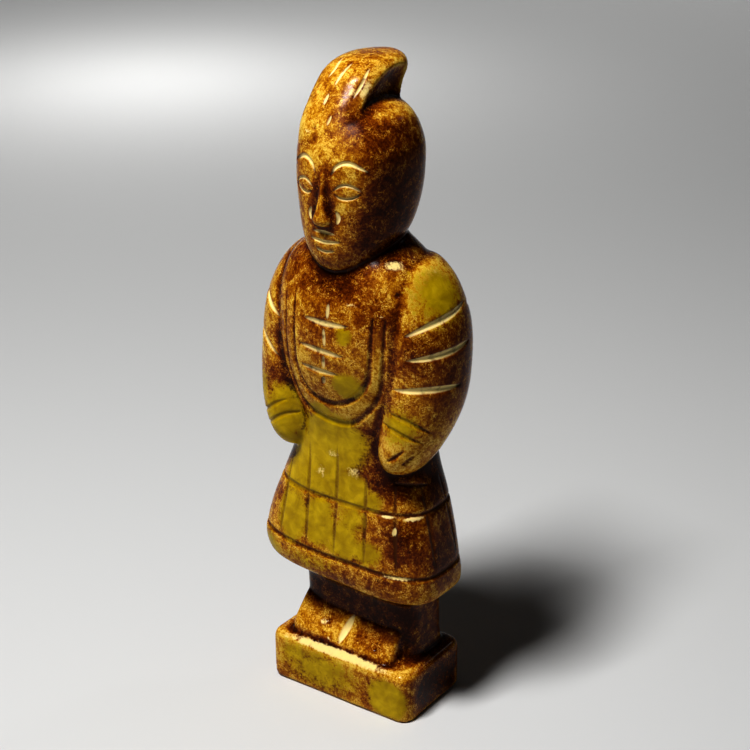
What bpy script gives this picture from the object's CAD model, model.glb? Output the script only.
import math

import bmesh
import bpy
import numpy as np
from mathutils import Euler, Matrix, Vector, noise
from mathutils.bvhtree import BVHTree


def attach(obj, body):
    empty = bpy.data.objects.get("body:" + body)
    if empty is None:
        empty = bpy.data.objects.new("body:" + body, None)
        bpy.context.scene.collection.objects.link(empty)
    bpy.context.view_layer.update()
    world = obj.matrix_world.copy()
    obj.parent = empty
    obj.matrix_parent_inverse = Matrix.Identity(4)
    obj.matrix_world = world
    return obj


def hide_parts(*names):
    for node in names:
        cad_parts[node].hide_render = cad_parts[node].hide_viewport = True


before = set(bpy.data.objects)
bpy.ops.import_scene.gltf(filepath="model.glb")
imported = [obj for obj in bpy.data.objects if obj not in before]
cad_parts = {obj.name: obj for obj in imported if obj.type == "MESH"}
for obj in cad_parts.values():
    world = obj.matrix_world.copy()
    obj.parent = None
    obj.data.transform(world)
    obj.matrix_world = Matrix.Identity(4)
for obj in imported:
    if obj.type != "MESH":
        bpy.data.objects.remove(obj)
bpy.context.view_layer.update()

# Jade warrior carving: one polished stone with its engraved lines.
# Everything below is worked out in millimetres from the middle of the block's top,
# and turned into metres when a mesh is made. The figure faces -Y, its left hand is on +X.
mm = 0.001

block = {
    "width": 34.0,
    "depth": 20.4,
    "height": 10.7,
    "cornerRadius": 2.8,
    "cornerSteps": 10,
    "topRadius": 1.8,
    "topSteps": 8,
    "footRadius": 0.8,
    "footSteps": 4,
}


def between(a, b, c, d, t):
    # a smooth curve from b to c, led by the values before and after them
    first = 2 * b + (c - a) * t
    second = (2 * a - 5 * b + 4 * c - d) * t * t
    third = (3 * b - a - 3 * c + d) * t**3
    return (first + second + third) / 2


def rowAt(rows, share):
    # the row at this share of the way from the first row to the last
    last = len(rows) - 1
    place = share * last
    low = min(int(place), last - 1)
    near = [rows[min(max(low + k, 0), last)] for k in (-1, 0, 1, 2)]
    return [between(*values, place - low) for values in zip(*near)]


def rounded(value, squareness):
    return np.copysign(np.abs(value) ** (2 / squareness), value)


def sectionRing(row, angles):
    height, halfWidth, front, back, squareFront, squareBack, sideways, fall = row
    ahead = np.cos(angles)
    square = np.where(ahead > 0, squareFront, squareBack)
    x = sideways + halfWidth * rounded(np.sin(angles), square)
    y = (front + back) / 2 - (back - front) / 2 * rounded(ahead, square)
    return np.stack([x, y, height - fall * x], 1)


def sleeveRing(row, angles, side):
    sideways, forward, height, across, deep = row
    x = side * (sideways + across * np.sin(angles))
    y = forward - deep * np.cos(angles)
    return np.stack([x, y, np.full_like(angles, height)], 1)


def linked(name, data):
    # a new object in the scene
    made = bpy.data.objects.new(name, data)
    bpy.context.scene.collection.objects.link(made)
    return made


def filled(name, mesh):
    # mesh data from a worked mesh, which is freed
    data = bpy.data.meshes.new(name)
    mesh.to_mesh(data)
    mesh.free()
    return data


def newPiece(name, points, faces):
    # points come in millimetres from the block's top
    data = bpy.data.meshes.new(name)
    placed = (np.asarray(points) + (0, 0, block["height"])) * mm
    data.from_pydata(placed.tolist(), [], faces)
    data.validate()
    return linked(name, data)


def outward(piece):
    mesh = bmesh.new()
    mesh.from_mesh(piece.data)
    bmesh.ops.recalc_face_normals(mesh, faces=mesh.faces)
    mesh.to_mesh(piece.data)
    mesh.free()
    return piece


def loft(name, form, ringOf=sectionRing):
    sides, rings = form["sides"], form["rings"]
    angles = np.arange(sides) / sides * math.tau
    shares = [k / (rings - 1) for k in range(rings)]
    points = np.concatenate([ringOf(rowAt(form["rows"], share), angles) for share in shares])
    faces = []
    for k in range(rings - 1):
        for i in range(sides):
            j = (i + 1) % sides
            faces.append((k * sides + i, k * sides + j, (k + 1) * sides + j, (k + 1) * sides + i))
    faces.append(tuple(range(sides))[::-1])
    faces.append(tuple((rings - 1) * sides + i for i in range(sides)))
    return outward(newPiece(name, points, faces))


def bevelEdges(mesh, chosen, kind):
    edges = [e for e in mesh.edges if chosen(e.verts[0].co, e.verts[1].co)]
    radius, steps = block[kind + "Radius"] * mm, block[kind + "Steps"]
    bmesh.ops.bevel(mesh, geom=edges, offset=radius, segments=steps, profile=0.5, affect="EDGES")


def makeBlock():
    w, d, h = block["width"] / 2, block["depth"] / 2, block["height"]
    corners = [(x, y, z) for z in (-h, 0) for x, y in ((-w, -d), (w, -d), (w, d), (-w, d))]
    faces = [(3, 2, 1, 0), (4, 5, 6, 7)] + [(k, (k + 1) % 4, (k + 1) % 4 + 4, k + 4) for k in range(4)]
    piece = newPiece("block", corners, faces)
    mesh = bmesh.new()
    mesh.from_mesh(piece.data)
    full = h * mm
    close = full / 100
    bevelEdges(mesh, lambda a, b: abs(a.z - b.z) > full / 2, "corner")
    bevelEdges(mesh, lambda a, b: min(a.z, b.z) > full - close, "top")
    bevelEdges(mesh, lambda a, b: max(a.z, b.z) < close, "foot")
    mesh.to_mesh(piece.data)
    mesh.free()
    return outward(piece)


def applied(piece, name):
    # the piece with its modifiers made real
    bpy.context.view_layer.update()
    finished = piece.evaluated_get(bpy.context.evaluated_depsgraph_get())
    made = linked(name, bpy.data.meshes.new_from_object(finished))
    bpy.data.objects.remove(piece)
    return made


def scoop(piece, cutter):
    change = piece.modifiers.new("scoop", "BOOLEAN")
    change.operation = "DIFFERENCE"
    change.solver = "EXACT"
    change.object = cutter
    return applied(piece, piece.name)


# height, half width, front, back, squareness of the front and of the back, sideways, fall towards +X
body = {
    "sides": 120,
    "rings": 220,
    "rows": [
        (-3.0, 13.9, -4.3, 9.0, 4.2, 5.0, 0.2, 0.0),
        (0.6, 13.9, -4.3, 9.0, 4.2, 5.0, 0.2, 0.0),
        (3.0, 13.6, -4.2, 8.9, 4.2, 5.0, 0.2, 0.0),
        (8.5, 13.5, -4.2, 8.9, 4.2, 5.0, 0.2, 0.0),
        (12.4, 13.9, -4.7, 9.0, 4.2, 4.6, 0.2, 0.03),
        (14.8, 15.5, -6.8, 9.4, 4.2, 4.2, 0.4, 0.045),
        (16.0, 18.0, -9.2, 9.8, 3.8, 3.8, 0.3, 0.05),
        (16.9, 19.5, -10.5, 10.0, 3.5, 3.7, 0.0, 0.05),
        (18.2, 20.1, -11.1, 10.2, 3.3, 3.6, -0.3, 0.05),
        (20.0, 20.3, -11.4, 10.3, 3.2, 3.5, -0.5, 0.05),
        (22.3, 20.0, -11.2, 10.0, 3.3, 3.4, -0.5, 0.045),
        (28.0, 18.9, -10.6, 9.8, 3.1, 3.4, -0.4, 0.02),
        (34.6, 17.0, -9.8, 9.5, 2.8, 3.4, -0.2, 0.0),
        (41.0, 14.8, -9.2, 9.3, 2.6, 3.3, 0.0, 0.0),
        (46.5, 13.8, -9.1, 9.2, 2.5, 3.2, 0.0, 0.0),
        (51.0, 14.0, -9.7, 9.3, 2.5, 3.1, 0.0, 0.0),
        (56.0, 14.8, -11.2, 9.8, 2.4, 3.0, 0.0, 0.0),
        (62.0, 15.6, -12.8, 10.3, 2.3, 3.0, 0.0, 0.0),
        (68.0, 15.8, -13.2, 10.4, 2.3, 3.0, 0.0, 0.0),
        (74.0, 15.5, -12.2, 10.2, 2.6, 2.8, 0.0, 0.0),
        (78.5, 14.7, -10.7, 9.7, 2.7, 2.6, 0.0, 0.0),
        (81.5, 13.4, -9.5, 9.4, 2.6, 2.4, 0.0, 0.0),
        (84.0, 11.1, -8.2, 8.2, 2.2, 2.3, -0.1, 0.0),
        (86.2, 8.5, -6.0, 7.2, 2.1, 2.2, -0.2, 0.0),
        (88.5, 7.4, -4.8, 7.0, 2.0, 2.0, 0.0, 0.0),
        (98.0, 7.0, -3.5, 7.0, 2.0, 2.0, 0.0, 0.0),
    ],
}

head = {
    "sides": 90,
    "rings": 90,
    "rows": [
        (81.0, 2.6, -9.8, -3.6, 2.0, 2.0, 0.0, 0.0),
        (81.8, 5.2, -11.0, 0.0, 2.0, 2.0, 0.0, 0.0),
        (84.0, 7.6, -11.8, 4.5, 2.1, 2.0, 0.0, 0.0),
        (88.0, 9.5, -12.2, 9.0, 2.2, 2.1, 0.0, 0.0),
        (93.0, 10.4, -12.3, 11.0, 2.3, 2.2, 0.0, 0.0),
        (98.0, 10.9, -12.3, 11.6, 2.3, 2.2, 0.0, 0.0),
        (103.0, 10.9, -11.6, 11.4, 2.3, 2.2, 0.0, 0.03),
        (107.0, 9.8, -9.9, 10.4, 2.2, 2.1, 0.0, 0.08),
        (109.6, 8.4, -7.2, 8.6, 2.1, 2.0, 0.0, 0.12),
        (111.0, 5.8, -4.4, 6.2, 2.0, 2.0, 0.0, 0.14),
        (111.7, 2.6, -1.6, 3.2, 2.0, 2.0, 0.0, 0.14),
    ],
}

topknot = {
    "sides": 80,
    "rings": 70,
    "rows": [
        (101.5, 8.4, -11.3, 7.0, 2.3, 2.2, -1.8, 0.0),
        (106.5, 8.2, -10.4, 8.4, 2.4, 2.2, -1.8, 0.0),
        (110.2, 7.3, -8.4, 9.4, 2.5, 2.2, -2.0, 0.0),
        (113.0, 6.8, -6.2, 10.8, 2.7, 2.2, -2.0, 0.0),
        (115.2, 6.6, -4.3, 12.2, 2.6, 2.2, -1.8, 0.0),
        (116.8, 5.8, -2.2, 12.0, 2.3, 2.1, -1.6, 0.0),
        (117.8, 4.1, 0.2, 10.6, 2.0, 2.0, -1.3, 0.0),
        (118.1, 1.5, 3.0, 8.6, 2.0, 2.0, -1.0, 0.0),
    ],
    "hollowPlace": (11.3, 1.2, 111.6),  # the scooped flank on the figure's left
    "hollowSize": (8.4, 15.0, 6.8),
    "hollowLean": 23,
    "hollowSteps": (64, 40),
}

nose = {
    "sides": 40,
    "rings": 40,
    "rows": [
        (99.6, 0.8, -12.5, -9.0, 2.0, 2.0, 0.0, 0.0),
        (96.0, 1.1, -12.9, -9.0, 2.0, 2.0, 0.0, 0.0),
        (93.0, 1.6, -13.6, -9.0, 2.0, 2.0, 0.0, 0.0),
        (91.2, 2.1, -14.0, -9.0, 2.2, 2.0, 0.0, 0.0),
        (90.4, 1.9, -13.5, -9.0, 2.2, 2.0, 0.0, 0.0),
        (90.0, 1.2, -12.6, -9.0, 2.2, 2.0, 0.0, 0.0),
    ],
}

# Each sleeve ring: sideways, forward, height, half thickness, half depth
sleeves = {
    "sides": 80,
    "rings": 120,
    "rows": [
        (9.0, 1.5, 83.0, 1.7, 2.3),
        (10.2, 1.3, 81.6, 4.6, 6.4),
        (11.8, 1.2, 77.2, 6.6, 8.7),
        (13.1, 1.1, 71.0, 7.6, 10.1),
        (13.8, 0.7, 64.0, 7.8, 10.1),
        (14.1, -0.3, 57.0, 7.4, 9.6),
        (13.7, -2.0, 51.0, 6.5, 8.6),
        (12.8, -3.6, 46.0, 5.2, 6.8),
        (12.2, -4.4, 43.0, 3.4, 4.4),
        (12.0, -4.6, 42.0, 1.4, 1.8),
    ],
}

shoes = {
    "sides": 90,
    "rings": 40,
    "rows": [
        (-1.5, 12.3, -8.2, 5.0, 9.0, 5.0, -0.8, 0.06),
        (0.9, 12.3, -8.3, 5.0, 9.0, 5.0, -0.8, 0.06),
        (2.0, 12.2, -7.8, 5.0, 9.0, 5.0, -0.8, 0.06),
        (4.3, 12.0, -5.9, 5.0, 9.0, 5.0, -0.8, 0.06),
        (6.4, 11.8, -4.0, 5.0, 8.0, 5.0, -0.8, 0.06),
        (7.3, 11.5, -2.8, 5.0, 8.0, 5.0, -0.8, 0.06),
    ],
}

# How the stone is rounded and polished
polish = {
    "voxel": 0.25,  # size of the carving grid
    "rounds": 14,  # smoothing passes before the lines are cut
    "softness": 0.5,  # how much each pass smooths
    "fineReach": 1.5,  # the grid is halved this far from each line, in line widths
    "waves": [(9.0, 0.10), (3.2, 0.035)],  # size and height of the uneven hand polish
    "flatFoot": 0.4,  # no unevenness below this height, so that the underside stays flat
    "triangles": 192000,
}


def joinForms():
    mesh = bmesh.new()
    around, upright = topknot["hollowSteps"]
    bmesh.ops.create_uvsphere(mesh, u_segments=around, v_segments=upright, radius=1)
    hollow = linked("hollow", filled("hollow", mesh))
    x, y, z = topknot["hollowPlace"]
    hollow.location = Vector((x, y, z + block["height"])) * mm
    hollow.scale = Vector(topknot["hollowSize"]) * mm
    hollow.rotation_euler = Euler((math.radians(topknot["hollowLean"]), 0, 0))
    forms = [
        loft("head", head),
        scoop(loft("topknot", topknot), hollow),
        loft("body", body),
        loft("nose", nose),
        loft("sleeveLeft", sleeves, lambda row, angles: sleeveRing(row, angles, 1)),
        loft("sleeveRight", sleeves, lambda row, angles: sleeveRing(row, angles, -1)),
        loft("shoes", shoes),
        makeBlock(),
    ]
    bpy.data.objects.remove(hollow)
    mesh = bmesh.new()
    for form in forms:
        mesh.from_mesh(form.data)
        bpy.data.objects.remove(form)
    stone = linked("roughStone", filled("roughStone", mesh))
    grid = stone.modifiers.new("carving grid", "REMESH")
    grid.mode = "VOXEL"
    grid.voxel_size = polish["voxel"] * mm * 1
    soften = stone.modifiers.new("soften", "SMOOTH")
    soften.factor = polish["softness"]
    soften.iterations = polish["rounds"]
    return applied(stone, "softStone")


def readPoints(piece):
    flat = np.empty(len(piece.data.vertices) * 3, np.float32)
    piece.data.vertices.foreach_get("co", flat)
    return flat.reshape(-1, 3).astype(float) / mm - (0, 0, block["height"])


def readNormals(piece):
    flat = np.empty(len(piece.data.vertices) * 3, np.float32)
    piece.data.vertex_normals.foreach_get("vector", flat)
    return flat.reshape(-1, 3).astype(float)


def writePoints(piece, points):
    placed = (points + (0, 0, block["height"])) * mm
    piece.data.vertices.foreach_set("co", placed.astype(np.float32).ravel())
    piece.data.update()


# How every line is laid on the stone and cut into it
cutting = {
    "from": 60,  # how far out a line starts before it is let down onto the stone
    "step": 0.5,  # between the points of a line
    "faceStep": 0.25,
    "leastSteps": 6,
    "ringStep": 2,  # degrees between the points of a ring round the skirt
    "ends": 0.12,  # share of its width that a line keeps at its ends
    "fullness": 0.6,  # lower keeps a line wide for longer
    "hollow": (1.15, 1.9, 0.9),  # the groove's section: power, and a curve that rounds its floor
    "paleEdge": 2.2,  # how quickly the bare stone's colour sets in from the groove's edge
    "paleEnds": 1.3,
}


def castFrom(side, place):
    # a start point and a direction towards the stone, in millimetres from the block's top
    if side == "turned":
        out = Vector((math.sin(math.radians(place[0])), -math.cos(math.radians(place[0])), 0))
        return Vector((0, 0, place[1])) + out * cutting["from"], -out
    way = 1 if side == "back" else -1
    return Vector((place[0], cutting["from"] * way, place[1])), Vector((0, -way, 0))


def lowered(surface, side, places):
    # the places let down onto the stone's surface
    points = []
    lift = Vector((0, 0, block["height"]))
    for place in places:
        start, way = castFrom(side, place)
        found = surface.ray_cast((start + lift) * mm, way)[0]
        if found is not None:
            points.append(found / mm - lift)
    return np.array(points)


def smoothLine(points, step=cutting["step"]):
    length = sum(math.dist(a, b) for a, b in zip(points, points[1:]))
    steps = max(cutting["leastSteps"], round(length / step))
    return [rowAt(points, k / steps) for k in range(steps + 1)]


# Half width and depth of each kind of cut, and how pale or grimy the bare stone in it is
cuts = {
    "ring": {"half": 0.66, "depth": 0.32, "pale": 0.0, "grime": 0.60},
    "line": {"half": 0.56, "depth": 0.17, "pale": 0.0, "grime": 0.70},
    "bib": {"half": 0.98, "depth": 0.46, "pale": 0.22, "grime": 0.12},
    "lace": {"half": 0.78, "depth": 0.38, "pale": 0.62, "grime": 0.12},
    "tick": {"half": 0.58, "depth": 0.26, "pale": 0.62, "grime": 0.10},
    "sleeve": {"half": 0.90, "depth": 0.42, "pale": 0.85, "grime": 0.05},
    "cuff": {"half": 0.60, "depth": 0.34, "pale": 0.20, "grime": 0.45},
    "hair": {"half": 0.60, "depth": 0.22, "pale": 0.50, "grime": 0.15},
    "scratch": {"half": 0.42, "depth": 0.14, "pale": 0.75, "grime": 0.05},
    "face": {"half": 0.56, "depth": 0.38, "pale": 0.90, "grime": 0.10},
    "lid": {"half": 0.44, "depth": 0.32, "pale": 0.90, "grime": 0.10},
    "parting": {"half": 1.10, "depth": 0.55, "pale": 1.0, "grime": 0.0},
}

# Lines seen from the front or the back are (sideways, height).
# Turned lines are (angle from the front in degrees, height).
lines = {
    "front": [
        ("bib", [
            (-7.4, 76.0), (-7.3, 67.0), (-7.0, 61.0), (-4.6, 56.4),
            (0.8, 55.2), (6.2, 58.0), (9.2, 63.2), (9.7, 74.0),
        ]),
        ("bib", [
            (-10.0, 75.0), (-9.9, 66.0), (-9.4, 58.6), (-6.6, 52.9),
            (1.0, 50.9), (6.6, 53.6), (11.0, 60.6), (11.8, 73.6),
        ]),
        ("lace", [(-4.7, 71.9), (0.5, 71.6), (5.4, 71.8)]),
        ("lace", [(-5.8, 66.6), (-0.4, 66.2), (4.6, 65.9)]),
        ("lace", [(-5.6, 62.3), (-1.4, 62.0), (3.0, 62.0)]),
        ("tick", [(0.6, 75.4), (0.7, 72.4)]),
        ("tick", [(0.1, 70.8), (0.5, 67.0)]),
        ("tick", [(0.2, 65.6), (0.0, 62.6)]),
        ("tick", [(-0.1, 61.0), (-0.6, 59.2)]),
        ("parting", [(0.2, 6.4), (-0.3, 4.0), (-1.0, 0.9)]),
        ("scratch", [(-1.9, 113.6), (-1.6, 115.4), (-1.0, 117.3)]),
        ("scratch", [(-4.2, 114.6), (-3.7, 116.2), (-4.4, 117.5)]),
        ("scratch", [(2.2, 112.0), (2.7, 114.3), (2.5, 116.6)]),
        ("scratch", [(-2.6, 110.6), (-2.5, 112.6)]),
        ("scratch", [(-0.6, 107.6), (-0.3, 109.4)]),
        ("line", [(-12.4, 39.0), (-13.4, 22.8)]),
        ("line", [(-6.9, 44.6), (-6.4, 22.8)]),
        ("line", [(0.1, 45.8), (0.3, 22.8)]),
        ("line", [(6.5, 41.5), (7.4, 22.8)]),
        ("line", [(12.1, 39.4), (14.1, 22.8)]),
    ],
    "face": [
        ("face", [(1.7, 99.4), (2.8, 101.2), (5.0, 101.9), (7.9, 100.4)]),
        ("face", [(2.7, 93.2), (3.2, 91.9), (2.8, 90.6)]),
        ("lid", [(2.1, 96.6), (3.4, 97.7), (4.8, 98.0), (6.2, 97.5), (7.3, 96.6)]),
        ("lid", [(2.4, 96.2), (3.4, 95.6), (4.7, 95.5), (6.0, 95.8), (7.1, 96.5)]),
    ],
    "mouth": [
        ("lid", [(-2.5, 88.7), (0.0, 88.9), (2.5, 88.7)]),
        ("face", [(-3.4, 87.3), (0.0, 87.0), (3.4, 87.3)]),
        ("lid", [(-2.1, 85.5), (0.0, 85.1), (2.1, 85.5)]),
    ],
    "turned": [
        ("sleeve", [(60, 71.0), (76, 72.9), (104, 74.6)]),
        ("sleeve", [(60, 66.5), (75, 67.1), (100, 67.8)]),
        ("sleeve", [(54, 60.6), (70, 60.9), (90, 60.4)]),
        ("cuff", [(52, 55.9), (61, 54.7), (73, 52.0)]),
        ("cuff", [(49, 53.4), (57, 52.2), (68, 50.3)]),
        ("cuff", [(58, 49.0), (50, 46.0)]),
        ("cuff", [(64, 47.8), (58, 45.6)]),
        ("cuff", [(60, 40.0), (72, 39.4), (86, 38.5)]),
        ("sleeve", [(-88, 73.6), (-66, 71.6), (-54, 69.0)]),
        ("lace", [(-88, 66.6), (-64, 63.9), (-53, 60.8)]),
        ("cuff", [(-68, 48.2), (-57, 49.9), (-49, 52.6)]),
        ("cuff", [(-63, 46.2), (-54, 47.8), (-47, 50.2)]),
        ("sleeve", [(110, 73.6), (118, 73.0), (127, 72.0)]),
        ("sleeve", [(108, 65.6), (118, 65.0), (128, 64.2)]),
        ("sleeve", [(-110, 73.6), (-118, 73.0), (-127, 72.0)]),
        ("sleeve", [(-108, 65.6), (-118, 65.0), (-128, 64.2)]),
        ("line", [(-100, 39.0), (-100, 22.8)]),
        ("line", [(-78, 39.0), (-78, 22.8)]),
        ("line", [(79, 39.0), (79, 22.8)]),
        ("line", [(101, 39.0), (101, 22.8)]),
    ],
    "back": [
        ("bib", [
            (-9.6, 74.0), (-9.6, 64.0), (-7.0, 56.4), (0.0, 53.6),
            (7.0, 56.4), (9.6, 64.0), (9.6, 74.0),
        ]),
        ("hair", [(-6.6, 88.6), (-6.6, 97.0), (-5.0, 105.6)]),
        ("hair", [(-3.4, 87.6), (-3.6, 97.0), (-3.0, 106.6)]),
        ("hair", [(0.0, 87.2), (0.0, 97.0), (-0.6, 106.8)]),
        ("hair", [(3.4, 87.6), (3.6, 97.0), (2.8, 105.6)]),
        ("hair", [(6.6, 88.6), (6.6, 97.0), (5.6, 104.0)]),
        ("line", [(-12.4, 43.0), (-13.9, 22.8)]),
        ("line", [(-6.4, 43.0), (-7.2, 22.8)]),
        ("line", [(0.0, 43.0), (0.0, 22.8)]),
        ("line", [(6.4, 43.0), (7.2, 22.8)]),
        ("line", [(12.4, 43.0), (13.9, 22.8)]),
    ],
    "rings": [(22.4, 1.3), (34.2, 0.5)],  # height in front, fall to the left side
}


def allStrokes(surface):
    # each stroke: its kind, whether it closes on itself, its points on the stone
    made = []
    for side in ("front", "back", "turned"):
        for kind, points in lines[side]:
            made.append((kind, False, lowered(surface, side, smoothLine(points))))
    for kind, points in lines["face"]:
        for way in (-1, 1):
            mirrored = [(way * x, z) for x, z in points]
            made.append((kind, False, lowered(surface, "front", smoothLine(mirrored, cutting["faceStep"]))))
    for kind, points in lines["mouth"]:
        made.append((kind, False, lowered(surface, "front", smoothLine(points, cutting["faceStep"]))))
    for height, fall in lines["rings"]:
        angles = range(-180, 181, cutting["ringStep"])
        turn = [(angle, height - fall * math.sin(math.radians(angle)) ** 3) for angle in angles]
        made.append(("ring", True, lowered(surface, "turned", turn)))
    return made


def distanceTo(points, path):
    # how far each point is from the path, and how far along the path it lies, from 0 to 1
    best = np.full(len(points), np.inf)
    share = np.zeros(len(points))
    lengths = np.linalg.norm(np.diff(path, axis=0), axis=1)
    along = np.concatenate([[0], np.cumsum(lengths)]) / lengths.sum()
    for k in range(len(path) - 1):
        run = path[k + 1] - path[k]
        t = np.clip((points - path[k]) @ run / max(run @ run, 1e-12), 0, 1)  # never over nothing
        far = np.linalg.norm(points - path[k] - t[:, None] * run, axis=1)
        closer = far < best
        best[closer] = far[closer]
        share[closer] = (along[k] + t * (along[k + 1] - along[k]))[closer]
    return best, share


def strokeReach(points, kind, ring, path):
    # the points near a stroke, how far off each is in half widths, and the stroke's fullness there
    half = cuts[kind]["half"]
    low, high = path.min(0) - 2 * half, path.max(0) + 2 * half
    near = np.where(((points > low) & (points < high)).all(1))[0]
    far, share = distanceTo(points[near], path)
    if ring:
        return near, far / half, np.ones_like(share)
    ends = cutting["ends"]
    taper = ends + (1 - ends) * np.abs(np.sin(np.pi * share)) ** cutting["fullness"]
    return near, far / (half * taper), taper


def nearStrokes(points, strokes, reach):
    chosen = np.zeros(len(points), bool)
    for kind, ring, path in strokes:
        near, ratio, _ = strokeReach(points, kind, ring, path)
        chosen[near[ratio < reach]] = True
    return chosen


def refine(piece, strokes):
    # a finer grid where the lines will be cut
    chosen = nearStrokes(readPoints(piece), strokes, polish["fineReach"])
    mesh = bmesh.new()
    mesh.from_mesh(piece.data)
    edges = [e for e in mesh.edges if chosen[e.verts[0].index] and chosen[e.verts[1].index]]
    bmesh.ops.subdivide_edges(mesh, edges=edges, cuts=1, use_grid_fill=True)
    bmesh.ops.triangulate(mesh, faces=mesh.faces)
    mesh.to_mesh(piece.data)
    mesh.free()


def cutDepths(points, strokes):
    # for each point: how deep it is cut, how pale and how grimy it is there
    depth = np.zeros(len(points))
    pale = np.zeros(len(points))
    dirt = np.zeros(len(points))
    for kind, ring, path in strokes:
        near, ratio, taper = strokeReach(points, kind, ring, path)
        inside = np.clip(1 - ratio, 0, 1)
        power, rise, bend = cutting["hollow"]
        shape = inside**power * (rise - bend * inside)
        depth[near] = np.maximum(depth[near], cuts[kind]["depth"] * taper * shape)
        strength = np.clip(inside * cutting["paleEdge"], 0, 1) * np.clip(taper * cutting["paleEnds"], 0, 1)
        pale[near] = np.maximum(pale[near], strength * cuts[kind]["pale"])
        dirt[near] = np.maximum(dirt[near], strength * cuts[kind]["grime"])
    return depth, pale, dirt


def waves(points):
    height = np.zeros(len(points))
    for size, tall in polish["waves"]:
        height += np.array([noise.noise(Vector(p) / size) for p in points]) * tall
    return height


# Small knocks in the polished skin: (sideways, height), radius, depth
chips = {
    "front": [
        ((-1.0, 1.6), 0.7, 0.35),
        ((-4.6, 4.2), 0.45, 0.2),
        ((7.5, 2.2), 0.4, 0.2),
        ((12.8, 78.0), 0.5, 0.25),
        ((-6.0, 20.5), 0.35, 0.18),
        ((10.5, 20.4), 0.4, 0.2),
        ((-12.6, 21.0), 0.4, 0.2),
        ((3.0, 45.0), 0.3, 0.12),
        ((-3.0, 107.0), 0.5, 0.18),
    ],
    "back": [
        ((5.0, 70.0), 0.6, 0.25),
        ((-8.0, 48.0), 0.4, 0.2),
        ((11.0, 20.0), 0.5, 0.25),
    ],
}


def knocks(points, surface):
    depth = np.zeros(len(points))
    for side in ("front", "back"):
        for place, radius, deep in chips[side]:
            middle = lowered(surface, side, [place])
            if len(middle):
                far = np.linalg.norm(points - middle[0], axis=1) / radius
                depth = np.maximum(depth, deep * np.clip(1 - far * far, 0, 1))
    return depth


def surfaceOf(piece):
    return BVHTree.FromObject(piece, bpy.context.evaluated_depsgraph_get())


def carve(piece):
    surface = surfaceOf(piece)
    strokes = allStrokes(surface)
    print("lines laid on the stone:", len(strokes))
    refine(piece, strokes)
    print("finer grid near the lines:", len(piece.data.polygons), "faces")
    points, normals = readPoints(piece), readNormals(piece)
    depth, _, _ = cutDepths(points, strokes)
    depth = np.maximum(depth, knocks(points, surface))
    uneven = (points[:, 2] > polish["flatFoot"] - block["height"]) * 1.0
    points += normals * (waves(points) * uneven - depth)[:, None]
    writePoints(piece, points)
    fewer = piece.modifiers.new("fewer faces", "DECIMATE")
    fewer.ratio = min(1, polish["triangles"] / len(piece.data.polygons))
    return applied(piece, "warriorStone"), strokes


def neighbourMean(piece, values, rounds):
    count = len(values)
    edges = np.empty(len(piece.data.edges) * 2, np.int32)
    piece.data.edges.foreach_get("vertices", edges)
    a, b = edges.reshape(-1, 2).T
    degree = np.bincount(a, minlength=count) + np.bincount(b, minlength=count) + 1.0
    for _ in range(rounds):
        if values.ndim == 1:
            total = np.bincount(a, values[b], count) + np.bincount(b, values[a], count)
            values = (values + total) / degree
        else:
            columns = []
            for k in range(values.shape[1]):
                column = values[:, k]
                total = np.bincount(a, column[b], count) + np.bincount(b, column[a], count)
                columns.append((column + total) / degree)
            values = np.stack(columns, 1)
    return values


def store(piece, name, values):
    layer = piece.data.attributes.new(name, "FLOAT", "POINT")
    layer.data.foreach_set("value", np.clip(values, 0, 1).astype(np.float32))


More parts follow.
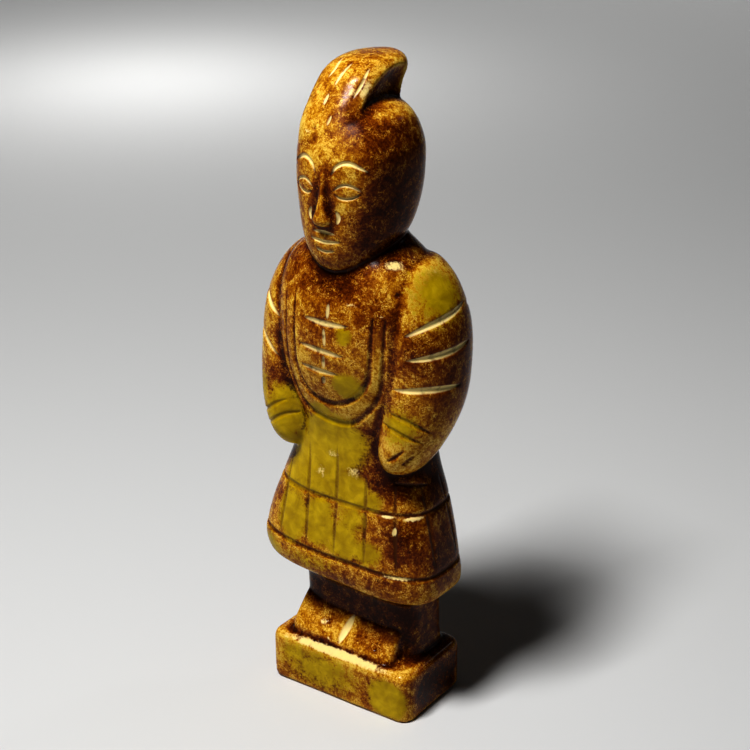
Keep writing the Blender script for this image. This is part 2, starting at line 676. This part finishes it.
# Patches where the stone's look changes: (sideways, forward, height), its half sizes, strength
patches = {
    "green": [
        ((4.5, -12.6, 69.9), (2.2, 3, 2.2), 1.0),
        ((4.7, -11.9, 59.8), (3.8, 4, 3.4), 1.2),
        ((-3.0, -10.1, 52.7), (3.8, 3, 2.2), 1.0),
        ((-12.5, -9.0, 49.0), (5.0, 6, 7.5), 1.2),
        ((-17.0, -6.0, 52.0), (4.0, 6, 7.5), 1.1),
        ((15.0, -10.1, 53.6), (6.2, 5, 5.2), 0.72),
        ((17.6, -1.5, 77.5), (7.5, 8, 7.5), 0.80),
        ((-0.7, -9.1, 46.5), (8.5, 4, 7.5), 1.3),
        ((-7.0, -9.0, 42.0), (7.0, 4, 6.0), 1.2),
        ((-4.3, -9.2, 38.5), (9.0, 4, 5.5), 1.3),
        ((-10.5, -9.0, 37.0), (5.0, 4, 5.0), 1.1),
        ((3.5, -9.5, 37.0), (5.0, 4, 5.0), 1.2),
        ((8.2, -9.8, 36.0), (3.4, 3, 3.0), 0.9),
        ((-10.4, -10.1, 28.5), (4.8, 4, 7.0), 1.2),
        ((-3.5, -10.4, 29.0), (4.4, 4, 6.5), 1.2),
        ((2.5, -10.6, 26.5), (4.6, 4, 4.8), 1.1),
        ((4.0, -10.4, 31.5), (5.0, 4, 4.5), 0.75),
        ((7.5, -10.6, 25.5), (4.8, 4, 3.2), 1.0),
        ((-16.5, -9.0, 19.5), (4.0, 5, 4.0), 1.0),
        ((12.3, -10.2, -6.1), (4.6, 3, 4.6), 1.7),
        ((-10.5, -10.2, -3.4), (6.0, 3, 4.0), 0.7),
        ((-4.0, -10.2, -5.2), (14.0, 3, 6.5), 0.72),
        ((-6.0, -11.0, 20.0), (12.0, 4, 3.6), 0.48),
        ((6.0, 10.0, 62.0), (5.0, 5, 6.0), 0.8),
        ((-7.0, 9.5, 33.0), (6.0, 5, 6.0), 0.9),
        ((-14.0, 7.5, 71.0), (4.5, 5, 4.5), 0.7),
        ((10.0, 10.2, -5.0), (4.5, 3, 4.5), 0.8),
    ],
    "gold": [
        ((-3.5, -6.0, 113.0), (8.0, 8, 8.0), 0.75),
        ((-4.7, -8.5, 107.0), (6.0, 6, 6.0), 0.9),
        ((-2.2, -11.0, 103.0), (3.0, 4, 5.0), 1.0),
        ((7.0, -1.5, 109.0), (6.0, 8, 1.2), 0.9),
        ((4.5, 2.0, 113.0), (5.0, 9, 4.5), 0.9),
        ((-6.0, -6.0, 4.0), (8.0, 5, 4.0), 0.9),
        ((-9.4, -10.2, -2.6), (8.0, 4, 7.0), 1.0),
        ((1.5, -10.2, -3.3), (8.0, 4, 6.0), 1.2),
        ((-9.0, -10.0, 19.0), (9.0, 6, 3.5), 0.2),
        ((13.6, -5.0, 0.2), (4.0, 6, 2.0), 1.2),
        ((17.5, -1.0, 78.0), (7.0, 9, 7.0), 1.2),
        ((12.3, -9.1, 68.0), (3.0, 4, 6.0), 0.7),
        ((-6.0, -12.5, 64.0), (3.0, 4, 8.0), 0.5),
        ((10.5, -10.0, 62.0), (2.0, 4, 9.0), 0.8),
        ((8.1, -9.4, 54.0), (4.0, 4, 5.0), 0.9),
        ((0.0, -11.5, 53.0), (8.0, 4, 3.5), 0.7),
        ((-18.0, -4.0, 64.0), (3.5, 7, 9.0), 1.1),
        ((13.0, -10.0, 48.0), (5.0, 5, 4.0), 0.8),
    ],
    "dark": [
        ((11.0, -3.0, 99.0), (5.5, 9, 13.0), 1.7),
        ((8.5, -5.5, 103.5), (5.0, 7, 6.0), 0.55),
        ((10.0, -6.0, 90.0), (6.5, 8, 8.0), 1.8),
        ((4.5, -10.9, 24.0), (3.2, 3, 2.6), 0.5),
        ((7.0, -4.0, 106.0), (7.0, 8, 3.5), 1.0),
        ((21.0, 2.0, 66.0), (5.0, 9, 14.0), 0.85),
        ((17.0, 4.0, 38.0), (6.0, 9, 8.0), 1.2),
        ((15.5, -8.0, 29.0), (5.0, 5, 5.5), 1.0),
        ((19.0, -1.0, 24.0), (4.0, 7, 6.0), 1.1),
        ((12.5, -7.0, 40.0), (5.5, 4, 3.5), 1.2),
        ((9.0, -4.0, 10.5), (10.0, 5, 4.0), 0.9),
        ((17.0, 1.0, -4.0), (3.0, 9, 7.0), 1.8),
        ((-5.0, -4.5, 11.0), (9.0, 5, 4.5), 0.65),
        ((9.0, -10.5, 20.0), (13.0, 6, 3.0), 0.6),
        ((0.0, -12.0, 80.0), (12.0, 5, 6.0), 0.65),
        ((-10.0, -8.0, 79.0), (6.0, 6, 7.0), 0.45),
        ((9.7, -10.0, 73.6), (4.0, 4, 6.0), 0.7),
        ((17.0, -7.0, 67.0), (5.0, 5, 6.0), 0.6),
        ((-2.0, -12.0, 71.0), (9.0, 4, 5.0), 0.4),
    ],
    "cream": [
        ((-0.5, -9.5, -0.35), (16.0, 1.5, 1.1), 1.25),
        ((-3.6, -9.2, 39.4), (2.2, 2, 1.9), 0.70),
        ((4.2, -9.1, 41.0), (2.8, 2, 2.0), 0.72),
        ((-1.0, -9.1, 43.6), (2.6, 2, 1.5), 0.62),
        ((11.4, -8.7, 33.5), (1.6, 2, 0.4), 1.2),
        ((15.6, -5.9, 33.2), (2.4, 3, 0.4), 1.1),
        ((13.0, -8.3, 30.7), (0.5, 2, 1.0), 1.3),
        ((14.5, -9.0, 21.6), (5.0, 3, 0.6), 0.9),
        ((-5.7, -6.6, 3.8), (0.9, 1.5, 0.7), 1.3),
        ((-3.4, -7.9, 1.4), (0.5, 1, 0.5), 1.2),
        ((5.3, -11.1, 75.8), (2.4, 2, 0.5), 0.8),
        ((11.0, -9.2, 74.3), (0.6, 1.5, 0.5), 1.1),
        ((3.4, -4.0, 113.6), (0.8, 4, 3.0), 0.9),
        ((-2.5, -5.0, 114.5), (6.0, 8, 5.0), 0.22),
        ((1.7, -5.7, 113.0), (1.2, 3.0, 2.0), 0.7),
        ((10.6, -5.2, 82.6), (2.6, 2.4, 1.3), 0.95),
        ((-4.7, -10.0, 106.2), (1.6, 2, 0.5), 0.8),
    ],
    "dull": [
        ((1.0, -10.3, 105.5), (5.5, 5, 4.0), 1.3),
        ((-2.0, -11.0, 101.0), (4.0, 4, 4.0), 0.8),
        ((8.5, 1.0, 113.0), (5.0, 10, 4.0), 1.2),
        ((1.0, -8.0, 112.5), (5.0, 5, 6.0), 0.16),
        ((8.0, -9.5, 79.5), (5.0, 5, 4.0), 0.30),
    ],
}

patchEdge = 1.25  # a patch fades to nothing this far out, in its half sizes


def patchField(points, kind):
    field = np.zeros(len(points))
    for middle, sizes, strength in patches[kind]:
        far = np.linalg.norm((points - np.array(middle)) / np.array(sizes), axis=1)
        field = np.maximum(field, strength * np.clip(patchEdge - far, 0, 1))
    return field


# How the bulges and dips of the stone are found
worn = {
    "reach": 12,  # rounds of averaging, which see about a millimetre
    "even": 3,  # rounds that even out the result
    "strength": 14,
}


def paintFields(piece, strokes):
    points = readPoints(piece)
    _, pale, dirt = cutDepths(points, strokes)
    store(piece, "pale", pale)
    store(piece, "dirt", dirt)
    bend = ((neighbourMean(piece, points, worn["reach"]) - points) * readNormals(piece)).sum(1)
    bend = neighbourMean(piece, bend, worn["even"])
    store(piece, "dip", bend * worn["strength"])
    store(piece, "wear", -bend * worn["strength"])
    for kind in patches:
        store(piece, kind, patchField(points, kind))


class Nodes:
    # shorthand for a shader's node tree
    def __init__(self, name):
        self.material = bpy.data.materials.new(name)
        self.material.use_nodes = True
        self.tree = self.material.node_tree
        self.shader = self.tree.nodes["Principled BSDF"]

    def add(self, kind, **settings):
        node = self.tree.nodes.new(kind)
        for name, value in settings.items():
            setattr(node, name, value)
        return node

    def link(self, source, target):
        if isinstance(source, bpy.types.NodeSocket):
            self.tree.links.new(source, target)
        else:
            target.default_value = source

    def math(self, operation, a, b=0.0):
        node = self.add("ShaderNodeMath", operation=operation)
        self.link(a, node.inputs[0])
        self.link(b, node.inputs[1])
        return node.outputs[0]

    def span(self, value, low, high, toLow=0.0, toHigh=1.0):
        node = self.add("ShaderNodeMapRange", interpolation_type="SMOOTHSTEP")
        for socket, source in zip(node.inputs, (value, low, high, toLow, toHigh)):
            self.link(source, socket)
        return node.outputs[0]

    def noise(self, place, scale, detail, roughness, distortion):
        node = self.add("ShaderNodeTexNoise")
        self.link(place, node.inputs["Vector"])
        node.inputs["Scale"].default_value = scale
        node.inputs["Detail"].default_value = detail
        node.inputs["Roughness"].default_value = roughness
        node.inputs["Distortion"].default_value = distortion
        return node.outputs["Fac"]

    def attribute(self, name):
        return self.add("ShaderNodeAttribute", attribute_name=name).outputs["Fac"]

    def blend(self, share, a, b):
        node = self.add("ShaderNodeMix", data_type="RGBA")  # its colour sockets are 6, 7 and 2
        self.link(share, node.inputs[0])
        self.link(a, node.inputs[6])
        self.link(b, node.inputs[7])
        return node.outputs[2]

    def ramp(self, value, stops):
        node = self.add("ShaderNodeValToRGB")
        ramp = node.color_ramp
        while len(ramp.elements) < len(stops):
            ramp.elements.new(0.5)
        for element, (place, colour) in zip(ramp.elements, stops):
            element.position = place
            element.color = (*colour, 1)
        self.link(value, node.inputs[0])
        return node.outputs[0]


jade = {
    # waves in a millimetre, detail, roughness, distortion
    "noises": {
        "clouds": (0.11, 3, 0.5, 0.3),
        "clusters": (0.50, 4, 0.6, 0.6),
        "grain": (2.1, 3, 0.6, 0.4),
        "sand": (4.6, 2, 0.6, 0.0),
        "veins": (1.1, 3, 0.6, 1.5),
        "clear": (0.42, 4, 0.55, 0.5),
        "pits": (3.4, 2, 0.5, 0.0),
        "ripples": (1.1, 3, 0.5, 0.0),
    },
    "tone": 0.495,  # the skin's middle tone
    # how far each lightens the skin, and its value that changes nothing
    "lighten": {
        "clouds": (0.25, 0.5),
        "clusters": (0.34, 0.5),
        "grain": (0.44, 0.5),
        "sand": (0.16, 0.5),
        "flecks": (0.26, 0.2),
        "gold": (0.10, 0.0),
        "dark": (-0.20, 0.0),
        "wear": (0.16, 0.0),
        "dip": (-0.12, 0.0),
    },
    "skin": [
        (0.30, (0.036, 0.0060, 0.0008)),
        (0.42, (0.110, 0.0210, 0.0015)),
        (0.50, (0.200, 0.0500, 0.0025)),
        (0.58, (0.340, 0.1250, 0.0050)),
        (0.66, (0.540, 0.2800, 0.0130)),
        (0.78, (0.780, 0.5700, 0.1200)),
    ],
    "clear": [
        (0.30, (0.335, 0.2100, 0.0020)),
        (0.50, (0.445, 0.3050, 0.0030)),
        (0.70, (0.560, 0.3950, 0.0080)),
    ],
    "pale": (0.86, 0.70, 0.32, 1),
    "grime": (0.115, 0.036, 0.004, 1),
    "fleckWidth": 0.035,
    "fleckPlaces": (0.40, 0.60),
    "greenEdge": (0.26, 0.74),
    "greenBreaks": {"clusters": 0.8, "grain": 0.75},
    "creamEdge": (0.45, 0.85, 0.0, 0.9),
    "creamBreaks": {"clusters": 0.8, "grain": 0.9},
    "grimeBreaks": (0.25, 0.6, 0.95, 0.6),
    "paleBreaks": (0.30, 0.50, 0.60, 1.0),
    "paleEdge": (0.15, 0.85),
    "roughness": (0.12, 0.50),  # of the polished skin and of the bare stone
    "grainRoughness": (0.35, 0.75, 0.12),  # where the grain sets in, and what it adds at most
    "pitEdge": (0.24, 0.36, 0.0, 1.0),
    "bump": {"ripples": 0.6, "grain": 0.25, "pits": 0.6, "strength": 0.25, "distance": 0.12},
    "specular": 0.12,
    "bending": 1.5,  # how strongly the stone bends light
    "glow": {"share": 0.12, "reach": 0.8, "colours": (1.0, 0.6, 0.15)},  # light inside the stone
}


def makeJade():
    n = Nodes("polishedJade")
    place = n.add("ShaderNodeTexCoord").outputs["Object"]
    scaled = n.add("ShaderNodeVectorMath", operation="SCALE")
    n.link(place, scaled.inputs[0])
    scaled.inputs[3].default_value = 1 / mm
    at = scaled.outputs[0]
    noises = {name: n.noise(at, *values) for name, values in jade["noises"].items()}
    clusters, grain = noises["clusters"], noises["grain"]

    def push(tone, source, amount, middle=0.5):
        return n.math("ADD", tone, n.math("MULTIPLY", n.math("SUBTRACT", source, middle), amount))

    def broken(patch, breaks):
        patch = push(patch, clusters, breaks["clusters"])
        return push(patch, grain, breaks["grain"])

    # golden flecks lie along the middle of the veins
    ridges = n.math("ABSOLUTE", n.math("SUBTRACT", noises["veins"], 0.5))
    ridges = n.span(ridges, 0.0, jade["fleckWidth"], 1.0, 0.0)
    flecks = n.math("MULTIPLY", ridges, n.span(clusters, *jade["fleckPlaces"]))
    tone = jade["tone"]
    for name, (amount, middle) in jade["lighten"].items():
        if name == "flecks":
            source = flecks
        else:
            source = noises[name] if name in noises else n.attribute(name)
        tone = push(tone, source, amount, middle)
    skin = n.ramp(tone, jade["skin"])
    clear = n.ramp(noises["clear"], jade["clear"])
    green = broken(n.attribute("green"), jade["greenBreaks"])
    colour = n.blend(n.span(green, *jade["greenEdge"]), skin, clear)
    grime = n.math("MULTIPLY", n.attribute("dirt"), n.span(grain, *jade["grimeBreaks"]))
    colour = n.blend(grime, colour, jade["grime"])
    pale = n.math("MULTIPLY", n.attribute("pale"), n.span(clusters, *jade["paleBreaks"]))
    cream = broken(n.attribute("cream"), jade["creamBreaks"])
    pale = n.math("MAXIMUM", n.span(pale, *jade["paleEdge"]), n.span(cream, *jade["creamEdge"]))
    n.link(n.blend(pale, colour, jade["pale"]), n.shader.inputs["Base Color"])

    # the cuts and dull patches are less polished
    low, high = jade["roughness"]
    dull = n.math("MAXIMUM", n.attribute("pale"), n.attribute("dirt"))
    dull = n.math("MULTIPLY", n.math("MAXIMUM", dull, n.attribute("dull")), high - low)
    start, stop, most = jade["grainRoughness"]
    n.link(n.math("ADD", n.span(grain, start, stop, low, low + most), dull), n.shader.inputs["Roughness"])

    amounts = jade["bump"]
    ripples = n.math("MULTIPLY", noises["ripples"], amounts["ripples"])
    fine = n.math("ADD", ripples, n.math("MULTIPLY", grain, amounts["grain"]))
    pits = n.math("MULTIPLY", n.span(noises["pits"], *jade["pitEdge"]), amounts["pits"])
    bump = n.add("ShaderNodeBump")
    bump.inputs["Strength"].default_value = amounts["strength"]
    bump.inputs["Distance"].default_value = amounts["distance"] * mm
    n.link(n.math("ADD", fine, pits), bump.inputs["Height"])
    n.link(bump.outputs[0], n.shader.inputs["Normal"])
    n.shader.inputs["Specular IOR Level"].default_value = jade["specular"]
    n.shader.inputs["IOR"].default_value = jade["bending"]
    n.shader.inputs["Subsurface Weight"].default_value = jade["glow"]["share"]
    n.shader.inputs["Subsurface Radius"].default_value = jade["glow"]["colours"]
    n.shader.inputs["Subsurface Scale"].default_value = jade["glow"]["reach"] * mm
    return n.material


studio = {
    "floor": (0.62, 0.62, 0.615, 1),
    "floorRoughness": 0.9,
    "floorSpecular": 0.1,
    # metres along the floor from the carving: where it starts, where it curves up, and the curve
    "floorRun": {"start": -3.0, "flat": 1.2, "curve": 0.4, "steps": 16, "top": 1.8, "half": 2.2},
    "floorWay": (-0.583, 0.812, 0),
    "world": (0.62, 0.63, 0.65, 1),
    "worldStrength": 0.010,
    "contrast": 0.7,
    "lamps": {
        "key": {
            "at": (-0.063, -0.298, 0.685), "aim": (0, 0, 0.03),
            "size": (0.168, 0.168), "watts": 3.7, "spread": 130,
        },
        "left": {
            "at": (-0.95, 0.10, 0.42), "aim": (0, 0, 0.08),
            "size": (0.3, 0.5), "watts": 0.15, "spread": 180,
        },
        "glow": {
            "at": (-0.406, 0.377, 0.20), "aim": (-0.404, 0.380, 0),
            "size": (0.072, 0.03), "watts": 0.246, "spread": 150,
        },
        "back": {
            "at": (0.657, 1.628, 1.285), "aim": (-0.90, 0.846, 0),
            "size": (0.5, 0.3), "watts": 4.7, "spread": 62.6,
        },
    },
}


def makeFloor():
    # flat round the carving, and curved up far behind it
    run = studio["floorRun"]
    flat, curve = run["flat"], run["curve"]
    steps = [(run["start"], 0.0), (flat, 0.0)]
    for a in np.linspace(0.1, math.pi / 2, run["steps"]):
        steps.append((flat + curve * math.sin(a), curve - curve * math.cos(a)))
    steps.append((flat + curve, run["top"]))
    way = Vector(studio["floorWay"])
    across = Vector((way.y, -way.x, 0))
    mesh = bmesh.new()
    rows = []
    for forward, up in steps:
        base = way * forward + Vector((0, 0, up))
        rows.append([mesh.verts.new(base + across * side) for side in (-run["half"], run["half"])])
    for a, b in zip(rows, rows[1:]):
        mesh.faces.new((a[0], a[1], b[1], b[0])).smooth = True
    bmesh.ops.recalc_face_normals(mesh, faces=mesh.faces)
    floor = linked("paleFloor", filled("paleFloor", mesh))
    n = Nodes("paleFloorPaint")
    n.shader.inputs["Base Color"].default_value = studio["floor"]
    n.shader.inputs["Roughness"].default_value = studio["floorRoughness"]
    n.shader.inputs["Specular IOR Level"].default_value = studio["floorSpecular"]
    floor.data.materials.append(n.material)


def makeLight():
    for name, values in studio["lamps"].items():
        light = bpy.data.lights.new(name, "AREA")
        light.shape = "RECTANGLE"
        light.size, light.size_y = values["size"]
        light.energy = values["watts"]
        light.spread = math.radians(values["spread"])
        lamp = linked(name, light)
        lamp.location = values["at"]
        way = Vector(values["aim"]) - Vector(values["at"])
        lamp.rotation_euler = way.to_track_quat("-Z", "Y").to_euler()
    world = bpy.data.worlds.new("studioAir")
    world.use_nodes = True
    air = world.node_tree.nodes["Background"]
    air.inputs[0].default_value = studio["world"]
    air.inputs[1].default_value = studio["worldStrength"]
    bpy.context.scene.world = world
    bpy.context.scene.view_settings.view_transform = "Standard"
    bpy.context.scene.view_settings.gamma = studio["contrast"]


view = {
    "place": (0.172312, -0.239587, 0.192612),
    "aim": (-0.53243, 0.75133, -0.38989),
    "roll": 0.238,
    "focal": 1677.2,  # in pixels of the frame
    "frame": 750,
    "sensor": 36,
    "nearest": 0.01,
}


def makeCamera():
    data = bpy.data.cameras.new("photoView")
    data.sensor_width = view["sensor"]
    data.lens = view["focal"] * view["sensor"] / view["frame"]
    data.clip_start = view["nearest"]
    camera = linked("photoView", data)
    camera.location = view["place"]
    turn = Vector(view["aim"]).to_track_quat("-Z", "Y").to_matrix()
    camera.rotation_euler = (turn @ Euler((0, 0, math.radians(-view["roll"]))).to_matrix()).to_euler()
    bpy.context.scene.camera = camera


print("joining the forms")
soft = joinForms()
print("stone on the carving grid:", len(soft.data.polygons), "faces")
stone, strokes = carve(soft)
print("carved stone:", len(stone.data.polygons), "faces")
paintFields(stone, strokes)
stone.data.materials.clear()
stone.data.materials.append(makeJade())
stone.data.shade_smooth()
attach(stone, "root")
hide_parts("warrior_carving")
print("stone finished")
makeFloor()
makeLight()
makeCamera()
print("studio and camera set")
